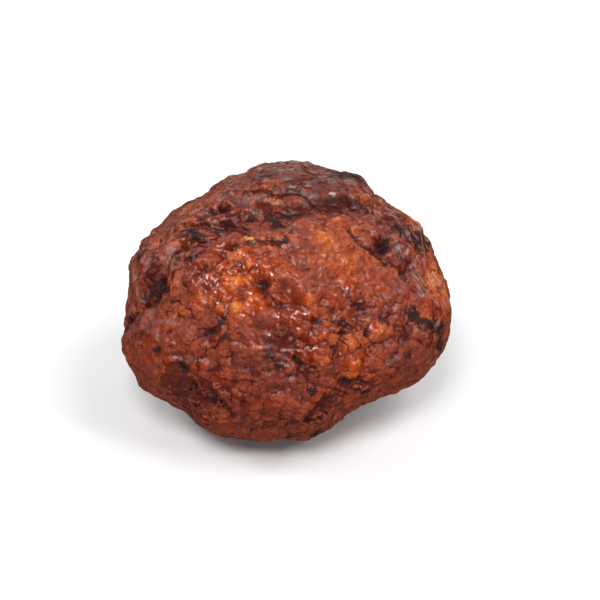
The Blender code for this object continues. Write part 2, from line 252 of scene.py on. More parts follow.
# Shifts of the dark stains: more of them than usual above zero, fewer below it.
STAINED = dict(
    crown=(2.4, 15.6, 9.5, 1.9, 6, 0.55),
    crown_band=(11.7, 13.0, 3.7, 0.8, -14, 0.9),
    crown_middle=(6.2, 12.8, 1.9, 0.8, 1, 0.5),
    saddle=(-4.1, 10.5, 7.0, 2.7, 5, 0.4),
    slope=(-13.6, 6.8, 5.7, 5.3, 12, 0.28),
    right_trough=(15.9, 6.9, 3.0, 0.9, -51, 0.6),
    left_cheek=(-15.8, -6.3, 4.2, 2.6, -57, 0.3),
    jaw=(-13.1, -12.1, 4.4, 1.9, -61, 0.35),
    lower_front=(-3.8, -11.1, 5.9, 2.7, 4, 0.18),
    lower_right=(10.9, -14.0, 5.1, 3.3, 45, 0.02),
    right_cheek=(16.1, -7.7, 4.2, 2.1, 2, 0.02),
    right_edge=(20.5, -4.6, 3.6, 2.5, 60, 0.25),
    middle=(0.2, -5.8, 3.4, 2.3, -50, 0.6),
    belly_left=(-5.7, 3.8, 5.9, 3.4, 15, -1.0),
    belly_top=(6.2, 6.2, 5.4, 4.6, 20, -1.0),
    belly_right=(8.2, 1.3, 4.2, 2.5, 0, -0.4),
    smooth_left=(-10.3, -1.9, 4.0, 2.2, -5, -0.35),
    front_ochre=(7.8, -6.5, 3.4, 2.6, 55, -0.5),
    shoulder=(18.0, 11.8, 2.0, 0.7, -48, -1.0),
)

# Charred spots.
CHARS = dict(
    crown_smudge=(-3.0, 17.0, 2.1, 1.0, -11, 0.7),
    crown_front=(3.7, 13.0, 1.0, 0.7, 56, 0.8),
    crown_black=(8.0, 16.9, 3.4, 1.3, -10, 1.0),
    crown_rim=(7.4, 18.7, 3.0, 0.8, 0, 0.9),
    crown_left=(0.8, 17.8, 1.9, 0.3, -10, 0.6),
    crown_spot=(-0.5, 14.0, 1.6, 0.3, 4, 0.8),
    crown_line=(-4.0, 14.0, 2.4, 0.25, 4, 0.85),
    band=(15.8, 9.4, 3.6, 0.8, -31, 1.0),
    band_right=(18.0, 8.2, 2.7, 0.8, -47, 0.9),
    saddle_right=(-1.3, 10.3, 2.1, 0.7, -33, 1.0),
    saddle_low=(-0.8, 7.4, 1.5, 0.7, -2, 0.9),
    saddle_left=(-5.1, 11.2, 1.1, 0.6, 39, 1.0),
    saddle_dot=(0.5, 11.5, 0.5, 0.4, -69, 0.9),
    slope_streak=(-8.9, 9.9, 2.1, 0.4, 43, 0.9),
    brow_lens=(-9.0, 12.5, 1.1, 0.7, -7, 0.75),
    brow_slit=(-11.1, 11.1, 0.9, 0.3, 13, 1.0),
    slope_dot=(-12.3, 9.0, 1.9, 0.6, -37, 0.9),
    slope_low=(-12.2, 8.2, 1.6, 0.5, 27, 0.7),
    slope_middle=(-12.0, 5.6, 1.1, 0.9, 64, 0.9),
    slope_left=(-14.8, 5.5, 0.8, 0.5, 76, 0.9),
    left_rim=(-20.2, 5.9, 1.2, 0.8, -20, 0.7),
    left_lens=(-17.8, 1.7, 2.0, 1.0, 46, 1.0),
    left_lens_end=(-19.3, 1.0, 1.1, 0.7, 67, 0.8),
    cheek_pit=(-9.4, -3.9, 2.3, 0.6, 36, 1.0),
    notch=(-22.0, -1.8, 1.1, 0.4, -75, 1.0),
    notch_inner=(-19.4, -1.0, 0.8, 0.3, -50, 0.8),
    cheek_spot=(-15.9, -6.3, 0.7, 0.3, -46, 0.7),
    jaw_spot=(-13.1, -8.5, 0.9, 0.8, 58, 0.8),
    jaw_streak=(-11.0, -12.3, 3.3, 1.5, -16, 0.68),
    jaw_low=(-11.6, -14.5, 1.1, 1.0, -83, 0.55),
    middle_crack=(0.5, -1.1, 1.4, 0.2, -6, 1.0),
    middle_pit=(-2.7, 1.9, 0.8, 0.7, -26, 1.0),
    front=(4.2, -2.5, 1.3, 0.4, -3, 1.0),
    front_left=(-1.8, -7.4, 1.1, 0.55, -55, 1.0),
    front_left_end=(-0.8, -8.5, 0.9, 0.4, 10, 1.0),
    slit=(1.6, -8.0, 1.5, 0.4, -51, 1.0),
    front_dot=(7.2, -4.4, 0.6, 0.4, 16, 1.0),
    front_top=(7.7, -3.0, 1.3, 0.7, -34, 0.9),
    front_right=(10.8, -4.4, 0.8, 0.6, -68, 0.85),
    front_high=(9.6, -0.8, 1.4, 0.6, -12, 0.7),
    right_low=(15.4, -3.5, 0.9, 0.5, -11, 0.8),
    wedge=(17.9, -3.0, 2.1, 0.8, -38, 1.0),
    wedge_top=(17.0, -1.9, 0.9, 0.6, 69, 0.9),
    right_edge=(20.5, -3.7, 1.7, 1.0, -82, 0.9),
    right_edge_low=(21.2, -6.4, 0.8, 0.3, 64, 0.9),
    right_rim=(22.5, -1.2, 1.2, 0.4, 40, 0.9),
    crease=(11.0, -7.2, 0.8, 0.4, 41, 0.8),
    crescent=(9.0, -11.2, 2.9, 1.1, -21, 0.66),
    lower_pit=(3.3, -12.0, 1.1, 0.9, 23, 0.8),
    lower_spot=(6.6, -13.8, 1.0, 0.5, -43, 0.75),
    lower_right=(10.8, -13.2, 1.9, 0.7, 43, 0.55),
    lower_far=(14.3, -10.4, 2.1, 0.4, -25, 0.6),
    bottom_rim=(4.3, -18.4, 1.1, 0.4, 27, 0.8),
    bottom_left=(2.6, -16.5, 1.9, 0.7, -9, 0.6),
    bottom_grey=(4.8, -15.8, 1.3, 0.8, 56, 0.7),
    shoulder_pit=(13.8, 7.3, 1.3, 1.0, 85, 1.0),
    shoulder_pit_top=(14.3, 7.8, 0.9, 0.3, -53, 0.8),
    shoulder_pit_low=(13.4, 5.0, 1.0, 0.3, 2, 0.8),
    flank_streak=(18.9, 3.4, 2.0, 0.3, -71, 0.6),
    belly_spot=(3.1, 4.1, 1.2, 0.6, 1, 0.45),
)

# Where the skin is drawn smooth, without broad ridges.
SMOOTHED = dict(
    crown=(2.4, 15.4, 10.5, 3.0, -4, 0.8),
    smooth_left=(-10.3, -1.9, 4.4, 3.0, -5, 0.5),
)

# Shifts of the greasy film: more of it on the skin above zero, less below it.
FILMED = dict(
    crown=(2.4, 15.8, 10.5, 2.6, -4, -0.1),
    slope=(-15.0, 8.0, 6.0, 2.5, 42, 0.1),
    smooth_left=(-10.6, -2.4, 4.5, 3.5, -5, -0.3),
    front_chars=(-0.2, -7.6, 3.6, 1.6, -20, 0.8),
)

# Where thin strands show in the skin: wrinkles in the relief, and pale lines in the colours that are
# partly pale strands and partly painted sheen.
STREAKED = dict(
    right_trough=(16.2, 7.6, 5.5, 2.0, -48, 1.0),
    flank=(19.4, 3.4, 4.5, 1.8, -72, 1.0),
    flank_low=(20.6, -2.0, 3.5, 1.6, -85, 0.7),
    crown_end=(12.5, 12.6, 3.5, 1.0, -20, 0.8),
    crown_top=(6.0, 17.8, 6.0, 1.2, -5, 0.8),
    left_rim=(-20.6, 3.4, 4.5, 1.3, 70, 0.8),
    upper_rim=(-14.5, 11.5, 5.5, 1.2, 38, 0.6),
    left_cheek=(-17.4, -6.5, 5.5, 2.2, -62, 0.45),
    jaw=(-12.0, -12.5, 5.5, 2.2, -40, 0.4),
    lower_right=(12.8, -12.5, 6.0, 2.0, 32, 0.5),
    right_cheek=(19.5, -8.0, 3.5, 1.8, 60, 0.6),
)

# Where juice gathers in shiny patches.
WETTED = dict(
    right=(10.0, -0.5, 5.0, 3.6, -40, 0.75),
    right_low=(10.5, -8.0, 4.0, 2.0, 20, 0.5),
    flank=(19.8, -2.0, 4.5, 1.6, -80, 0.9),
    trough=(16.0, 6.5, 4.0, 1.6, -48, 0.6),
    left=(-9.5, 1.8, 3.5, 1.8, -20, 0.55),
    middle=(0.6, -6.4, 4.2, 3.2, -30, 0.9),
    slope=(-9.0, 8.5, 4.5, 2.2, 42, 0.5),
    crown=(3.0, 15.0, 6.5, 1.4, -5, 0.5),
    jaw=(-9.5, -10.0, 6.0, 3.2, -35, 0.6),
    lower_front=(-1.0, -13.0, 7.0, 2.5, -5, 0.45),
    lower_right=(12.5, -12.0, 5.5, 2.2, 30, 0.55),
    left_cheek=(-16.5, -6.0, 5.0, 2.6, -60, 0.5),
)

# Single crumbs that stand out, the same with a height and a shift of tone.
CRUMBS = dict(
    slope_orange=(-13.6, 7.4, 0.9, 0.6, 11, 0.25, -0.15),
    belly_edge_left=(-6.9, 6.0, 1.1, 0.8, 26, 0.25, -0.03),
    belly_edge=(-5.0, 7.1, 1.3, 0.9, 33, 0.22, -0.05),
    left_smooth=(-11.5, 2.9, 1.9, 1.3, 85, 0.25, 0.1),
    left_lump=(-14.0, -1.6, 1.3, 0.9, 20, 0.22, -0.06),
    left_lump_inner=(-11.5, -1.6, 1.1, 0.9, 15, 0.18, -0.04),
    left_rim=(-19.1, 4.8, 0.9, 0.7, 67, 0.2, 0.0),
    brow=(-11.1, 11.8, 1.8, 1.0, -34, 0.25, 0.14),
    front_ochre=(8.5, -5.2, 1.6, 1.0, -80, 0.35, -0.06),
    front_left_ochre=(5.8, -6.2, 0.9, 0.6, 56, 0.3, -0.08),
    front_yellow=(9.1, -9.1, 1.4, 0.9, 73, 0.35, -0.1),
    front_big=(4.2, -7.3, 1.8, 1.3, 17, 0.22, -0.08),
    front_flake=(2.7, -10.1, 1.3, 0.8, -30, 0.2, 0.0),
    front_red=(3.3, -1.6, 1.1, 0.9, 25, 0.25, -0.02),
    right_orange=(12.5, -3.8, 1.5, 0.8, 24, 0.22, -0.08),
    right_lens=(15.1, -0.8, 1.4, 0.7, 9, 0.25, 0.0),
    right_oval=(13.6, -1.9, 0.8, 0.5, -5, 0.15, 0.3),
    cheek_top=(17.7, -4.9, 1.7, 0.9, -22, 0.2, 0.0),
    cheek_oval=(15.6, -7.3, 1.0, 0.6, 17, 0.15, 0.2),
    crown_orange=(10.2, 14.3, 1.8, 1.2, 14, 0.10, -0.04),
    trough_high=(9.5, 9.8, 0.9, 0.6, 19, 0.2, -0.02),
    trough_low=(10.8, 8.0, 0.9, 0.8, -44, 0.2, -0.04),
    chin=(-9.0, -15.3, 1.6, 0.8, 9, 0.2, -0.05),
    cheek=(-18.5, -3.8, 1.1, 0.8, -23, 0.2, 0.0),
    shoulder=(18.7, 11.0, 1.3, 0.4, -49, 0.3, -0.1),
)

# What the squared distance from every such spot grows by behind the outline.
BEHIND = 40.0

# The camera stands this far off, in millimetres, sees this much across the
# picture at the ball's middle, and has the ball this far left of its own middle.
CAMERA_AWAY = 360.0
PICTURE_WIDTH = 82.6
BALL_LEFT = 1.93

# The studio's round panels: degrees round from the front and above the horizon,
# width in metres, power in watts, and whether the glaze mirrors them.
PANELS = dict(
    key=(-8.0, 50.0, 0.24, 4.1, True),
    front=(15.0, 10.0, 0.36, 0.7, True),
    left=(-75.0, 50.0, 0.24, 2.2, True),
    right=(58.0, 57.0, 0.36, 3.3, False),
    right_small=(48.0, 40.0, 0.14, 1.2, True),
    overhead=(0.0, 80.0, 0.9, 0.8, False),
    behind=(180.0, 22.0, 0.5, 0.9, True),
    left_behind=(-125.0, 25.0, 0.35, 1.0, True),
    right_behind=(125.0, 25.0, 0.35, 1.0, True),
)
PANEL_AWAY = 0.8
SURROUNDING_LIGHT = 0.04
FLOOR_HALF = 1.5
FLOOR_WHITES = ((0.75, 0.75, 0.75), (0.77, 0.77, 0.77))
FLOOR_GLOW = {"Emission Color": (1.0, 0.97, 0.98, 1.0), "Emission Strength": 0.05}

# The three-quarter view's right, up and nearer directions, as unit vectors.
TILT = math.radians(VIEW_TILT)
RIGHT = np.array([1.0, 0.0, 0.0])
UP = np.array([0.0, math.sin(TILT), math.cos(TILT)])
NEARER = np.array([0.0, -math.cos(TILT), math.sin(TILT)])


def on_ball(places):
    """Points of the plain ball seen at (across, up) places of the three-quarter view.

    A place p is moved along the view's line of sight by t, where
    |(p + t n) / half size| = 1. One outside the outline is drawn in to it.
    """
    places = np.atleast_2d(np.array(places, float))
    start = (places[:, :1] * RIGHT + places[:, 1:] * UP) / HALF_SIZE
    step = NEARER / HALF_SIZE
    a = step @ step
    b = start @ step
    c = (start * start).sum(1) - 1.0
    t = (-b + np.sqrt(np.maximum(b * b - a * c, 0.0))) / a
    points = start + t[:, None] * step
    return points / np.linalg.norm(points, axis=1)[:, None] * HALF_SIZE


class Lattice:
    """Seeded gradient noise and grains on a unit lattice that repeats after CELLS cells.

    A number added to the points picks another part of it.
    """

    CELLS = 256
    WAVE_GAIN = 1.6

    def __init__(self, seed):
        draw = np.random.default_rng(seed)
        self.order = draw.permutation(self.CELLS)
        self.spots = draw.random((self.CELLS, 3))
        arrows = draw.normal(size=(self.CELLS, 3))
        self.arrows = arrows / np.linalg.norm(arrows, axis=1)[:, None]

    def index(self, cells):
        x, y, z = (cells % self.CELLS).T
        return self.order[(self.order[(self.order[x] + y) % self.CELLS] + z) % self.CELLS]

    def waves(self, points, size):
        """Smooth noise from -1 to 1: corner slopes, blended by 6t^5 - 15t^4 + 10t^3."""
        p = points / size
        cells = np.floor(p).astype(int)
        f = p - cells
        blend = f * f * f * (f * (f * 6.0 - 15.0) + 10.0)
        total = np.zeros(len(p))
        for corner in itertools.product((0, 1), repeat=3):
            corner = np.array(corner)
            slope = (self.arrows[self.index(cells + corner)] * (f - corner)).sum(1)
            total += np.where(corner, blend, 1.0 - blend).prod(1) * slope
        return total * self.WAVE_GAIN

    def grains(self, points, size):
        """Distances to the nearest and second nearest scattered spot, and the nearest one's number.

        The distances are in grain sizes, and the number is from 0 to 1.
        """
        p = points / size
        cells = np.floor(p).astype(int)
        nearest = np.full(len(p), np.inf)
        second = np.full(len(p), np.inf)
        number = np.zeros(len(p))
        for neighbour in itertools.product((-1, 0, 1), repeat=3):
            there = cells + np.array(neighbour)
            index = self.index(there)
            gap = np.linalg.norm(there + self.spots[index] - p, axis=1)
            closer = gap < nearest
            second = np.where(closer, nearest, np.minimum(second, gap))
            number = np.where(closer, index / (self.CELLS - 1), number)
            nearest = np.minimum(nearest, gap)
        return nearest, second, number


SWELL_NOISE = Lattice(3)
WRINKLE_NOISE = Lattice(11)
BILLOW_NOISE = Lattice(17)
GRAIN_NOISE = Lattice(23)
WOBBLE_NOISE = Lattice(41)
PEBBLE_NOISE = Lattice(53)
SKIN_NOISE = Lattice(67)
TONE_NOISE = Lattice(71)


def smooth(low, high, value):
    """0 below low and 1 above high, by 3t^2 - 2t^3 in between."""
    t = np.clip((value - low) / (high - low), 0.0, 1.0)
    return t * t * (3.0 - 2.0 * t)


def cubic(p0, p1, p2, p3, f):
    """The Catmull-Rom curve from p1 (f = 0) to p2 (f = 1), with p0 before it and p3 after it."""
    bend = 2.0 * p0 - 5.0 * p1 + 4.0 * p2 - p3
    turn = 3.0 * (p1 - p2) + p3 - p0
    return p1 + 0.5 * f * (p2 - p0 + f * (bend + f * turn))


def outline_share(ways):
    """How far the outline pushes each direction out, as a share of the ball's radius.

    The distances round the clock are joined by a closed cubic, divided by the
    plain ball's own outline, and fade from the outline to the middle of the view.
    """
    x, y = ways @ RIGHT, ways @ UP
    widths = np.array(OUTLINE)
    hour = np.arctan2(x, y) / (2.0 * math.pi) * len(widths) % len(widths)
    k = np.floor(hour).astype(int)
    f = hour - k
    p0, p1, p2, p3 = (widths[(k + i) % len(widths)] for i in (-1, 0, 1, 2))
    width = cubic(p0, p1, p2, p3, f)
    half_up = math.hypot(*(HALF_SIZE[1:] * UP[1:]))
    edge = np.hypot(x, y)
    safe = np.maximum(edge, 1e-6)
    plain = 1.0 / np.hypot(x / safe / HALF_SIZE[0], y / safe / half_up)
    return (width / plain - 1.0) * edge**OUTLINE_REACH


def oval(points, across, up, half_length, half_width, turn):
    """Squared distance from the middle of an oval spot, in its half lengths and widths."""
    middle = on_ball([across, up])[0]
    out = middle / np.linalg.norm(middle)
    turned = math.radians(turn)
    along = math.cos(turned) * RIGHT + math.sin(turned) * UP
    along = along - (along @ out) * out
    along /= np.linalg.norm(along)
    aside = np.cross(out, along)
    away = points - middle
    q = ((away @ along) / half_length) ** 2 + ((away @ aside) / half_width) ** 2
    return q + ((away @ out) / half_length) ** 2


def lobe(points, spot, height):
    """A rounded swelling: height times exp(-q^2), q the distance in half lengths and widths."""
    return height * np.exp(-oval(points, *spot))


def through(places):
    """Places about a millimetre apart on a smooth curve through the given ones (Catmull-Rom)."""
    places = np.array(places, float)
    ends = np.vstack([2 * places[0] - places[1], places, 2 * places[-1] - places[-2]])
    curve = []
    for p0, p1, p2, p3 in zip(ends, ends[1:], ends[2:], ends[3:]):
        count = max(2, round(np.linalg.norm(p2 - p1)))
        f = (np.arange(count) / count)[:, None]
        curve.append(cubic(p0, p1, p2, p3, f))
    return np.vstack(curve + [places[-1:]])


def fold(points, half_width, depth, lip, route):
    """A valley along a route, with a raised lip on its left.

    With s the distance from the route in half widths, it is -depth exp(-s^2),
    and on the left lip exp(-(s - 2)^2 / 2) more, and fades out at both ends.
    """
    path = on_ball(through(route))
    best = np.full(len(points), np.inf)
    share = np.zeros(len(points))
    left = np.zeros(len(points))
    for k, (a, b) in enumerate(zip(path, path[1:])):
        run = b - a
        t = np.clip((points - a) @ run / (run @ run), 0.0, 1.0)
        away = points - a - t[:, None] * run
        gap = (away * away).sum(1)
        nearer = gap < best
        best = np.where(nearer, gap, best)
        share = np.where(nearer, (k + t) / (len(path) - 1), share)
        aside = np.cross(a, run)
        left = np.where(nearer, away @ aside / np.linalg.norm(aside), left)
    s = np.sqrt(best) / half_width
    fade = smooth(0.0, FOLD_FADE, share) * smooth(0.0, FOLD_FADE, 1.0 - share)
    lips = np.where(left > 0.0, np.exp(-((s - 2.0) ** 2) / 2.0), 0.0)
    return fade * (lip * lips * smooth(0.0, 1.0, s) - depth * np.exp(-s * s))


def shaken(points, size, reach):
    """The points moved about by noise of that size, as far as reach."""
    moves = [WOBBLE_NOISE.waves(points + 50.0 * k, size) for k in range(3)]
    return points + reach * np.stack(moves, axis=1)


def hidden_share(points):
    """0 where the front features are, and 1 on the far side and underneath."""
    return smooth(-0.1, 0.25, -(points @ NEARER) / HALF_SIZE.mean())


def underneath(points):
    """0 nearly everywhere, rising to 1 at the flat spot."""
    return smooth(0.8, 0.98, -points[:, 2] / HALF_SIZE[2])


def main_relief(points):
    """Height over the plain ball, as in the solid, and the part of it that is folds and pits.

    It is the sum of the broad swell and creases, billows |noise| of falling
    size, rounded lumps in patches, the lobes, the folds and the pits.
    """
    wobbly = shaken(points, *WOBBLE)
    hidden = hidden_share(points)
    height = SWELL[1] * SWELL_NOISE.waves(points, SWELL[0]) * hidden
    creases = 1.0 - np.abs(WRINKLE_NOISE.waves(wobbly, WRINKLE[0]))
    crease = WRINKLE[1] * smooth(0.72, 1.0, creases) * (0.35 + 0.65 * hidden)
    height -= crease
    for size, rise in BILLOWS:
        height += rise * (np.abs(BILLOW_NOISE.waves(wobbly, size)) - 0.3)
    nearest, second, _ = GRAIN_NOISE.grains(wobbly, LUMP[0])
    patch = smooth(-0.4, 0.5, SWELL_NOISE.waves(points, LUMP[0] * 3.0))
    gap = 1.0 - smooth(0.0, 0.35, second - nearest)
    height += LUMP[1] * patch * (0.5 - nearest**2 - 0.4 * gap)
    for *spot, rise in LOBES.values():
        height += lobe(points, spot, rise)
    hollow = np.zeros(len(points))
    for row in FOLDS.values():
        hollow += fold(wobbly, *row)
    for across, up, half_width, depth in PITS.values():
        hollow += lobe(wobbly, (across, up, half_width, half_width, 0), -depth)
    return height + hollow, hollow - crease - 0.3 * LUMP[1] * patch * gap


def seen_oval(points, across, up, half_length, half_width, turn):
    """Squared distance from the middle of a spot that looks oval in the three-quarter view.

    It is worked out across the view alone, in half lengths and half widths, and
    grows by BEHIND past the outline, so that nothing placed shows there.
    """
    turned = math.radians(turn)
    x, y = points @ RIGHT - across, points @ UP - up
    along = math.cos(turned) * x + math.sin(turned) * y
    aside = math.cos(turned) * y - math.sin(turned) * x
    behind = smooth(0.05, 0.30, -(points @ NEARER) / HALF_SIZE.mean())
    return (along / half_length) ** 2 + (aside / half_width) ** 2 + BEHIND * behind


def spread(points, spots, growth=1.0):
    """1 at the middle of strong spots and 0 away from all: 1 - (1 - a)(1 - b)..."""
    clear = np.ones(len(points))
    for *spot, strength in spots.values():
        clear *= 1.0 - strength * np.exp(-seen_oval(points, *spot) / growth**2)
    return 1.0 - clear


def shifts(points, spots):
    """The sum over the spots of their shift times exp(-q^2), q the distance in half widths."""
    total = np.zeros(len(points))
    for *spot, shift in spots.values():
        total += shift * np.exp(-seen_oval(points, *spot))
    return total


def along_outline(points, stretch):
    """(across, up) drawn together, and the arc from the middle of the three-quarter view.

    Noise worked out at these runs along the outline, in waves that many times
    as long as they are wide.
    """
    across, rise = points @ RIGHT, points @ UP
    arc = HALF_SIZE.mean() * np.arctan2(np.hypot(across, rise), points @ NEARER)
    return np.stack([across / stretch, rise / stretch, arc], axis=1)


class Domes:
    """Domes 1 - F^2, F the distance to a scattered spot, each with its number from 0 to 1.

    A gap is 1 where the two nearest spots are equally far, and 0 beyond the width.
    """

    def __init__(self, noise, points, size, height, width, depth):
        nearest, second, self.number = noise.grains(points, size)
        self.top = 1.0 - nearest**2
        self.gap = 1.0 - smooth(0.0, width, second - nearest)
        self.relief = height * (self.top - DOME_MEAN - depth * self.gap)


class Crust:
    """The crust at each point of the plain ball: its fine relief in millimetres, and its looks.

    Chunks, pebbles and grains are domes with crevices between them. Elsewhere
    the skin has ridges and wrinkles along the outline, and ledges. Each part of
    the relief also keeps what the looks need of it.
    """

    def __init__(self, points):
        self.points = points
        self.wobbly = shaken(points, *WOBBLE)
        self.fine = shaken(points, *FINE_WOBBLE)
        self.find_zones()
        self.relief = self.crumbs() + self.domes() + self.broad_ridges()
        self.relief += self.ledges() + self.fine_wrinkles() + self.pimples()

    def noise(self, name):
        """The sum of the named rows of noise, each times its weight."""
        return sum(
            weight * TONE_NOISE.waves(getattr(self, points) + added, size)
            for points, added, size, weight in WAVES[name]
        )

    def find_zones(self):
        """How grainy, pebbled or skinned the crust is: placed in front, and in patches behind.

        Upper is 1 from the belly up, edge_on 0 facing the viewer and 1 at the
        outline, and leathery the lower skin in front.
        """
        self.hidden = hidden_share(self.points)
        patches = smooth(-0.3, 0.5, self.noise("patches"))
        self.grainy = np.maximum(spread(self.wobbly, GRAINY), 0.7 * self.hidden * patches)
        pebbled = np.maximum(spread(self.wobbly, PEBBLED), 0.5 * self.hidden * (1.0 - patches))
        self.pebbled = pebbled * (1.0 - self.grainy)
        self.skin = (1.0 - self.grainy) * (1.0 - 0.85 * self.pebbled)
        self.crumbly = 1.0 - 0.88 * self.skin
        self.smoothed = spread(self.wobbly, SMOOTHED)
        self.upper = smooth(-10.0, -2.0, self.points @ UP)
        self.edge_on = 1.0 - np.abs(self.points @ NEARER) / np.linalg.norm(self.points, axis=1)
        self.leathery = self.skin * (1.0 - self.upper) * (1.0 - smooth(0.35, 0.75, self.edge_on))

    def crumbs(self):
        """The single crumbs: caps sqrt(1 - q^2), with an uneven groove just outside q = 1."""
        ragged = shaken(self.fine, *RAGGED)
        rise, groove, self.crumb_tone = np.zeros((3, len(ragged)))
        for *spot, height, shift in CRUMBS.values():
            q = seen_oval(ragged, *spot)
            cap = np.sqrt(np.maximum(1.0 - q, 0.0))
            ring = np.exp(-(((np.sqrt(q) - 1.1) / 0.16) ** 2))
            rise += height * (cap - 0.3 * ring)
            groove = np.maximum(groove, ring)
            self.crumb_tone += shift * np.minimum(1.5 * cap, 1.0)
        self.groove = groove * (0.35 + 0.65 * smooth(-0.2, 0.4, self.noise("grooves")))
        return rise

    def domes(self):
        """Chunks, pebbles and grains, each as high as its zones are strong."""
        self.chunk = Domes(PEBBLE_NOISE, shaken(self.points, *CHUNK_WOBBLE) + 31.0, *CHUNK)
        self.pebble = Domes(PEBBLE_NOISE, self.fine, *PEBBLE)
        self.grain = Domes(GRAIN_NOISE, self.fine + 9.0, *GRAIN)
        share = 1.6 * self.pebbled + 0.15 * self.skin + 0.75 * self.leathery
        relief = self.crumbly * self.chunk.relief + share * self.pebble.relief
        return relief + self.grainy * self.grain.relief

    def broad_ridges(self):
        """Ridges |noise| of two sizes, and a mask exp(-(noise / width)^2) of the sharp valleys in
        between, where the colours paint shade.
        """
        drawn = along_outline(self.wobbly, RIDGE_STRETCH)
        self.broad = np.abs(SKIN_NOISE.waves(drawn + 4.0, RIDGE[0]))
        narrow = np.abs(SKIN_NOISE.waves(drawn + 44.0, 0.45 * RIDGE[0]))
        self.ridged = self.skin * (0.18 + 0.82 * self.upper) * (1.0 - self.smoothed)
        self.ridged *= 1.0 - 0.65 * smooth(0.55, 0.90, self.edge_on)
        valleys = np.exp(-((self.broad / 0.06) ** 2)), 0.7 * np.exp(-((narrow / 0.05) ** 2))
        self.valley = np.maximum(*valleys)
        return RIDGE[1] * self.ridged * (0.80 * self.broad + 0.20 * narrow - 0.22)

    def ledges(self):
        """Ledges where noise steps up near 0, and a line at the foot of each where the colours paint a
        shadow.
        """
        share = 0.3 + 0.7 * self.skin
        step = SKIN_NOISE.waves(self.wobbly + 80.0, LEDGE[0])
        # Painted shadow: a line at the foot of each ledge, darkened in the colours only.
        self.ledge_foot_shadow = share * np.exp(-(((step + 0.05) / 0.04) ** 2))
        return LEDGE[1] * share * (smooth(-0.06, 0.10, step) - 0.5)

    def fine_wrinkles(self):
        """Wrinkles 1 - |noise| of two sizes, strongest near the outline and where strands show."""
        wrinkled = 0.20 + 0.50 * smooth(0.25, 0.75, self.edge_on) * (1.0 - self.hidden) * self.upper
        strands = np.maximum(spread(self.wobbly, STREAKED), 0.6 * self.smoothed * self.upper)
        self.wrinkled = self.skin * np.maximum(wrinkled, strands)
        self.flow = along_outline(self.fine, SKIN_STRETCH)
        broad = np.abs(SKIN_NOISE.waves(self.flow, SKIN[0]))
        narrow = np.abs(SKIN_NOISE.waves(self.flow + 70.0, 0.55 * SKIN[0]))
        self.wrinkles = 1.0 - 1.3 * broad - 0.7 * narrow
        return SKIN[1] * self.wrinkled * (0.2 + 0.8 * self.upper) * (self.wrinkles - 0.3)

    def pimples(self):
        """Tiny rounded bumps, lowest on skin and grains."""
        share = (1.0 - 0.6 * self.skin) * (1.0 - 0.6 * self.grainy)
        return PIMPLE[1] * share * SKIN_NOISE.waves(self.points + 20.0, PIMPLE[0])

    def char(self):
        """The charred spots, ragged by noise, and specks of char on the far side."""
        specks = self.hidden * smooth(0.55, 0.9, self.noise("specks"))
        return np.maximum(spread(self.fine, CHARS) + self.noise("char"), specks)

    def tone(self):
        """0 for the palest and 1 for the brownest: noise, each dome's number, and shifts.

        Domes are browner on their sides, and ridges and wrinkles paler on top, as painted shade and
        highlight.
        """
        tone = 0.50 + self.noise("tone") * (1.0 - 0.4 * self.skin)
        tone += 0.10 * self.pebbled * (self.pebble.number - 0.5)
        tone += 0.12 * self.grainy * (self.grain.number - 0.5)
        tone += 0.14 * self.crumbly * (self.chunk.number - 0.5)
        # Painted shade and highlight: darker down the sides of grains and pebbles, paler on the tops of
        # ridges and wrinkles.
        tone += 0.6 * self.grainy * (0.78 - self.grain.top)
        tone += 0.35 * (self.pebbled + 0.7 * self.leathery) * (0.82 - self.pebble.top)
        tone -= 0.25 * self.ridged * (self.broad - 0.25) + 0.08 * self.wrinkled * self.wrinkles
        return tone + self.crumb_tone + 0.07 * self.skin + shifts(self.wobbly, TONES)

    def stain(self):
        """Dark stains: noise of three sizes, more of them round char, and more between wrinkles as
        painted shade in their valleys.
        """
        stain = self.noise("stain") - 0.3 * self.wrinkled * self.wrinkles - 0.32
        return stain + 0.8 * spread(self.fine, CHARS, 1.35) + shifts(self.wobbly, STAINED)

    def crevice(self):
        """The strongest of all crevices, valleys, ledges' feet and grooves at each point, where the
        colours paint shade.
        """
        gaps = [
            0.5 * self.pebbled * self.pebble.gap,
            self.grainy * self.grain.gap,
            self.crumbly * (1.0 - 0.6 * self.pebbled) * self.chunk.gap,
            0.6 * self.ridged * self.valley,
        ]
        uneven = 0.5 + 0.5 * smooth(-0.4, 0.4, self.noise("crevices"))
        gap = np.maximum.reduce(gaps) * uneven
        return np.maximum.reduce([gap, 0.8 * self.ledge_foot_shadow, 0.9 * self.groove])

    def glaze(self):
        """How wet with juice: the grains, more of it in patches, and where juice gathers."""
        wet = smooth(-0.35, 0.25, self.noise("wet"))
        gathered = smooth(-0.15, 0.30, self.noise("juice")) * shifts(self.wobbly, WETTED)
        return np.clip(0.05 + self.grainy * (0.30 + 0.65 * wet) + gathered, 0.0, 1.0)

    def film(self):
        """How greasy: the skin, most of all its upper ridges, and the pebbles."""
        film = self.skin * (0.55 + 0.35 * self.upper * smooth(0.05, 0.40, self.broad))
        return film + 0.25 * self.grainy + 0.75 * self.pebbled + shifts(self.wobbly, FILMED)

    def looks(self):
        """What the finish reads at each point, by name. Flow is a place, in metres."""
        made = (self.char, self.tone, self.crevice, self.glaze, self.stain, self.film)
        looks = {method.__name__: method() for method in made}
        looks.update(wrinkled=self.wrinkled, gritty=1.0 - 0.6 * self.pebbled, flow=self.flow * MM)
        return looks


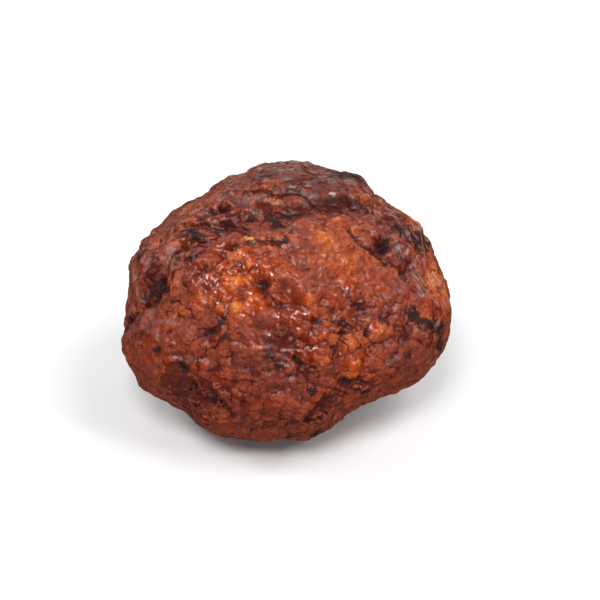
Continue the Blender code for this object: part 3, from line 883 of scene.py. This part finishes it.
def sphere_grid():
    """Directions on six square grids that close to a ball, and the four corners of each cell.

    A grid's place (u, v) from -1 to 1 looks along (tan(u pi/4), tan(v pi/4), 1),
    turned to its side of a cube, so that the cells are even. All directions are
    then drawn towards the front: d + k n, with k the packing.
    """
    line = np.tan(np.linspace(-1.0, 1.0, GRID_CELLS + 1) * math.pi / 4.0)
    u, v = np.meshgrid(line, line, indexing="ij")
    flat = np.stack([u.ravel(), v.ravel(), np.ones(u.size)], axis=1)
    number = np.arange(u.size).reshape(u.shape)
    cells = np.stack([number[:-1, :-1], number[1:, :-1], number[1:, 1:], number[:-1, 1:]], axis=-1)
    sides, quads = [], []
    for side, (sign, shift) in enumerate(itertools.product((1, -1), range(3))):
        sides.append(np.roll(flat * [1, 1, sign], shift, axis=1))
        quads.append(cells.reshape(-1, 4)[:, ::sign] + u.size * side)
    rounded = np.round(np.vstack(sides), 6)
    _, first, merged = np.unique(rounded, axis=0, return_index=True, return_inverse=True)
    ways = np.vstack(sides)[first]
    ways /= np.linalg.norm(ways, axis=1)[:, None]
    ways = ways + FRONT_PACKING * NEARER
    ways /= np.linalg.norm(ways, axis=1)[:, None]
    return ways, merged.reshape(-1)[np.vstack(quads)]


def ball_to_frame(points, low, high):
    """The move, in millimetres, that puts the form on the floor in the middle of the solid's box."""
    low, high = np.array(low) / MM, np.array(high) / MM
    move = (low + high - points.min(0) - points.max(0)) / 2.0
    move[2] = low[2] - FOOT_CUT - points[:, 2].min()
    return move


def meatball_surface(low, high):
    """The fine surface as one mesh object, and the place of the ball's middle, both in the frame."""
    ways, quads = sphere_grid()
    plain = ways / np.linalg.norm(ways / HALF_SIZE, axis=1)[:, None]
    height, hollow = main_relief(plain)
    crust = Crust(plain)
    calm = 1.0 - FOOT_CALM * underneath(plain)
    radius = np.linalg.norm(plain, axis=1) * (1.0 + outline_share(ways))
    move = ball_to_frame(ways * (radius + height * calm)[:, None], low, high)
    points = ways * (radius + (height + crust.relief) * calm)[:, None] + move
    points[:, 2] = np.maximum(points[:, 2], 0.0)

    mesh = bpy.data.meshes.new("meatball_crust")
    mesh.from_pydata((points * MM).tolist(), [], quads.tolist())
    mesh.shade_smooth()
    # The depth of the folds and pits goes to the finish, where it darkens the colours as painted shade.
    looks = {**crust.looks(), "hollow": np.clip(-hollow, 0.0, DEEPEST_HOLLOW)}
    for name, values in looks.items():
        kind, entry = ("FLOAT_VECTOR", "vector") if values.ndim == 2 else ("FLOAT", "value")
        mesh.attributes.new(name, kind, "POINT").data.foreach_set(entry, values.ravel())
    piece = bpy.data.objects.new("meatball_crust", mesh)
    bpy.context.scene.collection.objects.link(piece)
    return piece, Vector(move * MM)


def operator(operation):
    """The operator that adds a Math node of this kind, and its reflected form."""

    def plain(self, other):
        return self.wires.math(operation, self, other)

    def reflected(self, other):
        return self.wires.math(operation, other, self)

    return plain, reflected


class Value:
    """A socket that carries a number, a colour or a vector."""

    __add__, __radd__ = operator("ADD")
    __sub__, __rsub__ = operator("SUBTRACT")
    __mul__, __rmul__ = operator("MULTIPLY")

    def __init__(self, wires, socket):
        self.wires = wires
        self.socket = socket


class Wires:
    """The node tree of one material, emptied."""

    def __init__(self, material):
        material.use_nodes = True
        self.tree = material.node_tree
        self.tree.nodes.clear()

    def node(self, kind, settings, sockets, output=0):
        """Adds a node, sets it up, then fills its sockets with plain values or Values."""
        node = self.tree.nodes.new(kind)
        for name, setting in settings.items():
            if name == "stops":
                self.set_stops(node.color_ramp, setting)
            else:
                setattr(node, name, setting)
        for name, given in sockets.items():
            if isinstance(given, Value):
                self.tree.links.new(given.socket, node.inputs[name])
            else:
                node.inputs[name].default_value = given
        return Value(self, node.outputs[output]) if node.outputs else None

    def set_stops(self, ramp, stops):
        """Gives a ramp its (position, colour) stops."""
        while len(ramp.elements) < len(stops):
            ramp.elements.new(1.0)
        for element, (position, colour) in zip(ramp.elements, stops):
            element.position = position
            element.color = (*colour, 1.0)

    def math(self, operation, first, second):
        return self.node("ShaderNodeMath", {"operation": operation}, {0: first, 1: second})

    def field(self, name, output="Fac"):
        """A number, or with the output Vector a vector, stored at the surface's points."""
        return self.node("ShaderNodeAttribute", {"attribute_name": name}, {}, output)

    def noise(self, place, size, detail=3.0, roughness=0.6, seed=0.0):
        """Noise from 0 to 1, its waves that many millimetres long."""
        sockets = {"Vector": place, "W": seed, "Scale": 1.0 / (size * MM)}
        sockets.update({"Detail": detail, "Roughness": roughness})
        return self.node("ShaderNodeTexNoise", {"noise_dimensions": "4D"}, sockets)

    def step(self, low, high, value):
        """0 below low and 1 above high, smooth in between."""
        settings = {"interpolation_type": "SMOOTHSTEP"}
        sockets = {"Value": value, "From Min": low, "From Max": high}
        return self.node("ShaderNodeMapRange", settings, sockets)

    def mix(self, share, colour, other, blend="MIX"):
        """Colour where share is 0 and the other, or their blend, where it is 1."""
        settings = {"data_type": "RGBA", "blend_type": blend}
        sockets = {0: share, 6: as_colour(colour), 7: as_colour(other)}
        return self.node("ShaderNodeMix", settings, sockets, 2)


def as_colour(colour):
    return colour if isinstance(colour, Value) else (*colour, 1.0)


# Colours of the crust, from the palest fat to the brownest skin.
CRUST_STOPS = [
    (0.00, (0.52, 0.23, 0.08)),
    (0.16, (0.44, 0.120, 0.024)),
    (0.34, (0.30, 0.056, 0.014)),
    (0.54, (0.190, 0.034, 0.018)),
    (0.74, (0.112, 0.023, 0.016)),
    (1.00, (0.050, 0.012, 0.010)),
]
JUICE_TINT = (1.0, 0.72, 0.44)
SPECK_COLOUR = (0.40, 0.090, 0.018)
# Pale lines along the wrinkles near the outline: partly pale strands of the meat, partly painted sheen.
STRAND_AND_SHEEN_COLOUR = (0.36, 0.17, 0.12)
STAIN_COLOUR = (0.058, 0.009, 0.008)
CHAR_COLOUR = (0.015, 0.006, 0.006)
SINGED_COLOUR = (0.050, 0.012, 0.011)
# Painted shade: the dark colours laid into hollows, crevices and the feet of ledges. The glazed one is
# also the colour of stains where juice pools.
DRY_RECESS_SHADE_COLOUR = (0.036, 0.006, 0.005)
GLAZED_STAIN_AND_SHADE_COLOUR = (0.095, 0.009, 0.002)

# Noise in the finish, finer than the surface: size of its waves in millimetres,
# then detail, roughness and seed where they aren't the usual ones.
FINE_NOISE = dict(
    mottle=(1.3, 5.0, 0.65),
    grain=(0.45, 4.0, 0.65),
    speckle=(0.55, 3.0, 0.6, 3.0),
    fibre=(0.20, 2.0),
    drop=(0.60, 1.5, 0.45, 5.0),
)
STRAND_SIZE = 0.42
FLOOR_MOTTLE = 4.0

# What the finish reads from the surface, besides the flow.
FIELDS = ("char", "tone", "crevice", "glaze", "hollow", "stain", "gritty", "wrinkled", "film")

# Light that soaks into the meat: its share, and how far red, green and blue go
# as shares of the greatest distance.
SOAKING_LIGHT = {
    "Subsurface Weight": 0.12,
    "Subsurface Radius": (1.0, 0.30, 0.15),
    "Subsurface Scale": 0.8 * MM,
}


def crust_inputs(wires):
    """What the crust's finish is made from: the surface's numbers, fine noise, and masks of both."""
    place = wires.node("ShaderNodeTexCoord", {}, {}, "Object")
    at = SimpleNamespace(**{name: wires.field(name) for name in FIELDS})
    for name, noise in FINE_NOISE.items():
        setattr(at, name, wires.noise(place, *noise))
    at.strand = wires.noise(wires.field("flow", "Vector"), STRAND_SIZE)
    at.wet = wires.step(0.30, 0.55, at.glaze + (at.mottle - 0.5) * 0.5)
    at.grit = (at.grain - 0.5) * (1.0 - at.wet * 0.85) * at.gritty
    patchy = at.stain + (at.mottle - 0.5) * 1.5 + at.grit * 1.6
    at.stained = wires.step(0.24, 0.34, patchy - (at.strand - 0.5) * at.wrinkled * 1.6)
    edge = (at.grain - 0.5) * 1.9 + (at.mottle - 0.5) * 0.8 + (at.strand - 0.5) * 0.9
    at.burnt = wires.step(0.48, 0.58, at.char * 0.95 + edge)
    return at


def crust_colour(wires, at):
    """Mottled amber to red-brown, under stains, red specks, painted shade in hollows and crevices,
    char, and pale strands that are partly painted sheen.
    """
    shade = at.tone + (at.mottle - 0.5) * 0.5 + at.grit * (0.3 + at.mottle * 1.5)
    shade = shade + (at.fibre - 0.5) * (1.0 - at.wet * 0.8) * at.gritty
    colour = wires.node("ShaderNodeValToRGB", {"stops": CRUST_STOPS}, {"Fac": shade}, "Color")
    colour = wires.mix(at.wet, colour, JUICE_TINT, "MULTIPLY")
    pooled = wires.mix(at.glaze, STAIN_COLOUR, GLAZED_STAIN_AND_SHADE_COLOUR)
    specks = wires.step(0.60, 0.66, at.speckle) * (1.0 - at.stained * 0.8)
    # Painted shade: the crust darkens in hollows, crevices, valleys, grooves and at the feet of ledges.
    deep = wires.step(0.30, 0.66, at.hollow * 0.6 + at.crevice * 0.90 + at.grit * 0.7)
    recess_shade_colour = wires.mix(at.glaze, DRY_RECESS_SHADE_COLOUR, GLAZED_STAIN_AND_SHADE_COLOUR)
    charred = wires.mix(wires.step(0.50, 0.64, at.grain), CHAR_COLOUR, SINGED_COLOUR)
    # Pale lines on the wrinkles, partly strands and partly painted sheen.
    strands_and_sheen = wires.step(0.52, 0.64, at.strand) * wires.step(0.30, 0.80, at.wrinkled)
    layers = [
        (at.stained * 0.78, pooled),
        (specks * 0.5, SPECK_COLOUR),
        (deep * 0.85, recess_shade_colour),
        (at.burnt * 0.92, charred),
        (strands_and_sheen * 0.70, STRAND_AND_SHEEN_COLOUR),
    ]
    for share, other in layers:
        colour = wires.mix(share, colour, other)
    return colour


def crust_layer(wires, colour, roughness, shine, bumps):
    """One kind of crust: its roughness and shine, over bumps that high in millimetres."""
    sockets = {
        "Base Color": colour,
        **SOAKING_LIGHT,
        "Roughness": roughness,
        "Specular IOR Level": shine,
        "Normal": wires.node("ShaderNodeBump", {}, {"Height": bumps, "Distance": MM}),
    }
    return wires.node("ShaderNodeBsdfPrincipled", {}, sockets)


def crust_finish():
    """Browned crust: dry, greasy where the film lies, and glazed where it is wet."""
    material = bpy.data.materials.new("browned_crust")
    wires = Wires(material)
    at = crust_inputs(wires)
    colour = crust_colour(wires, at)
    strands = at.strand * at.wrinkled
    bumps = (at.grain * (0.19 + at.burnt * 0.14) + at.fibre * 0.07) + strands * 0.22
    dry = crust_layer(wires, colour, 0.36 + (at.mottle - 0.5) * 0.30, 0.12, bumps)
    bumps = (at.grain * 0.09 + at.fibre * 0.04) + (strands * 0.20 + at.drop * 0.12)
    greasy = crust_layer(wires, colour, 0.13 + (at.speckle - 0.5) * 0.12, 0.40, bumps)
    bumps = at.drop * (0.07 + at.stained * 0.05) + at.grain * (0.04 + at.stained * 0.06)
    glazed = crust_layer(wires, colour, 0.06 + at.burnt * 0.10, 0.68, bumps)
    filmed = wires.step(0.25, 0.75, at.film + (at.mottle - 0.5)) * (1.0 - at.burnt * 0.7)
    unglazed = wires.node("ShaderNodeMixShader", {}, {0: filmed, 1: dry, 2: greasy})
    shader = wires.node("ShaderNodeMixShader", {}, {0: at.wet, 1: unglazed, 2: glazed})
    wires.node("ShaderNodeOutputMaterial", {}, {"Surface": shader})
    return material


def floor_finish():
    """Matt white board with the faintest mottle, and a faint glow that lifts its shadows."""
    material = bpy.data.materials.new("white_floor")
    wires = Wires(material)
    place = wires.node("ShaderNodeTexCoord", {}, {}, "Object")
    colour = wires.mix(wires.noise(place, FLOOR_MOTTLE), *FLOOR_WHITES)
    sockets = {"Base Color": colour, "Roughness": 0.9, **FLOOR_GLOW}
    shader = wires.node("ShaderNodeBsdfPrincipled", {}, sockets)
    wires.node("ShaderNodeOutputMaterial", {}, {"Surface": shader})
    return material


def white_floor():
    """A square board under the meatball, which doesn't show in its glaze."""
    mesh = bpy.data.meshes.new("floor")
    half = FLOOR_HALF
    corners = [(-half, -half, 0.0), (half, -half, 0.0), (half, half, 0.0), (-half, half, 0.0)]
    mesh.from_pydata(corners, [], [(0, 1, 2, 3)])
    mesh.materials.append(floor_finish())
    board = bpy.data.objects.new("floor", mesh)
    board.visible_glossy = False
    bpy.context.scene.collection.objects.link(board)
    return board


def aim(thing, middle, azimuth, elevation, away):
    """Puts a light or camera round a point, turned to look at it. Azimuth 0 is in front."""
    a, e = math.radians(azimuth), math.radians(elevation)
    back = Vector((math.sin(a) * math.cos(e), -math.cos(a) * math.cos(e), math.sin(e)))
    thing.location = middle + back * away
    thing.rotation_euler = (-back).to_track_quat("-Z", "Y").to_euler()


def soft_light(name, middle, azimuth, elevation, size, power, mirrored):
    """A round panel. One that isn't mirrored lights the crust but doesn't show in its glaze."""
    light = bpy.data.lights.new(name, "AREA")
    light.shape = "DISK"
    light.size = size
    light.energy = power
    lamp = bpy.data.objects.new(name, light)
    lamp.visible_glossy = mirrored
    bpy.context.scene.collection.objects.link(lamp)
    aim(lamp, middle, azimuth, elevation, PANEL_AWAY)


def studio(middle):
    """Dim white surroundings, and the panels round the ball's middle."""
    world = bpy.data.worlds.new("studio")
    world.use_nodes = True
    surroundings = world.node_tree.nodes["Background"]
    surroundings.inputs["Color"].default_value = (1.0, 1.0, 1.0, 1.0)
    surroundings.inputs["Strength"].default_value = SURROUNDING_LIGHT
    bpy.context.scene.world = world
    for name, panel in PANELS.items():
        soft_light(name, middle, *panel)


def camera(middle):
    """The camera, straight in front and above, with the ball a little left of its middle."""
    lens = bpy.data.cameras.new("camera")
    lens.lens = lens.sensor_width * CAMERA_AWAY / PICTURE_WIDTH
    lens.clip_start = 0.01
    viewer = bpy.data.objects.new("camera", lens)
    bpy.context.scene.collection.objects.link(viewer)
    aim(viewer, middle + Vector((BALL_LEFT * MM, 0.0, 0.0)), 0.0, VIEW_TILT, CAMERA_AWAY * MM)
    bpy.context.scene.camera = viewer


def main():
    scene = bpy.context.scene
    scene.view_settings.view_transform = "Standard"
    piece, middle = meatball_surface(*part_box(BALL_NODE))
    piece.data.materials.append(crust_finish())
    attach(piece, "root")
    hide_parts(BALL_NODE)
    white_floor()
    studio(middle)
    camera(middle)


main()
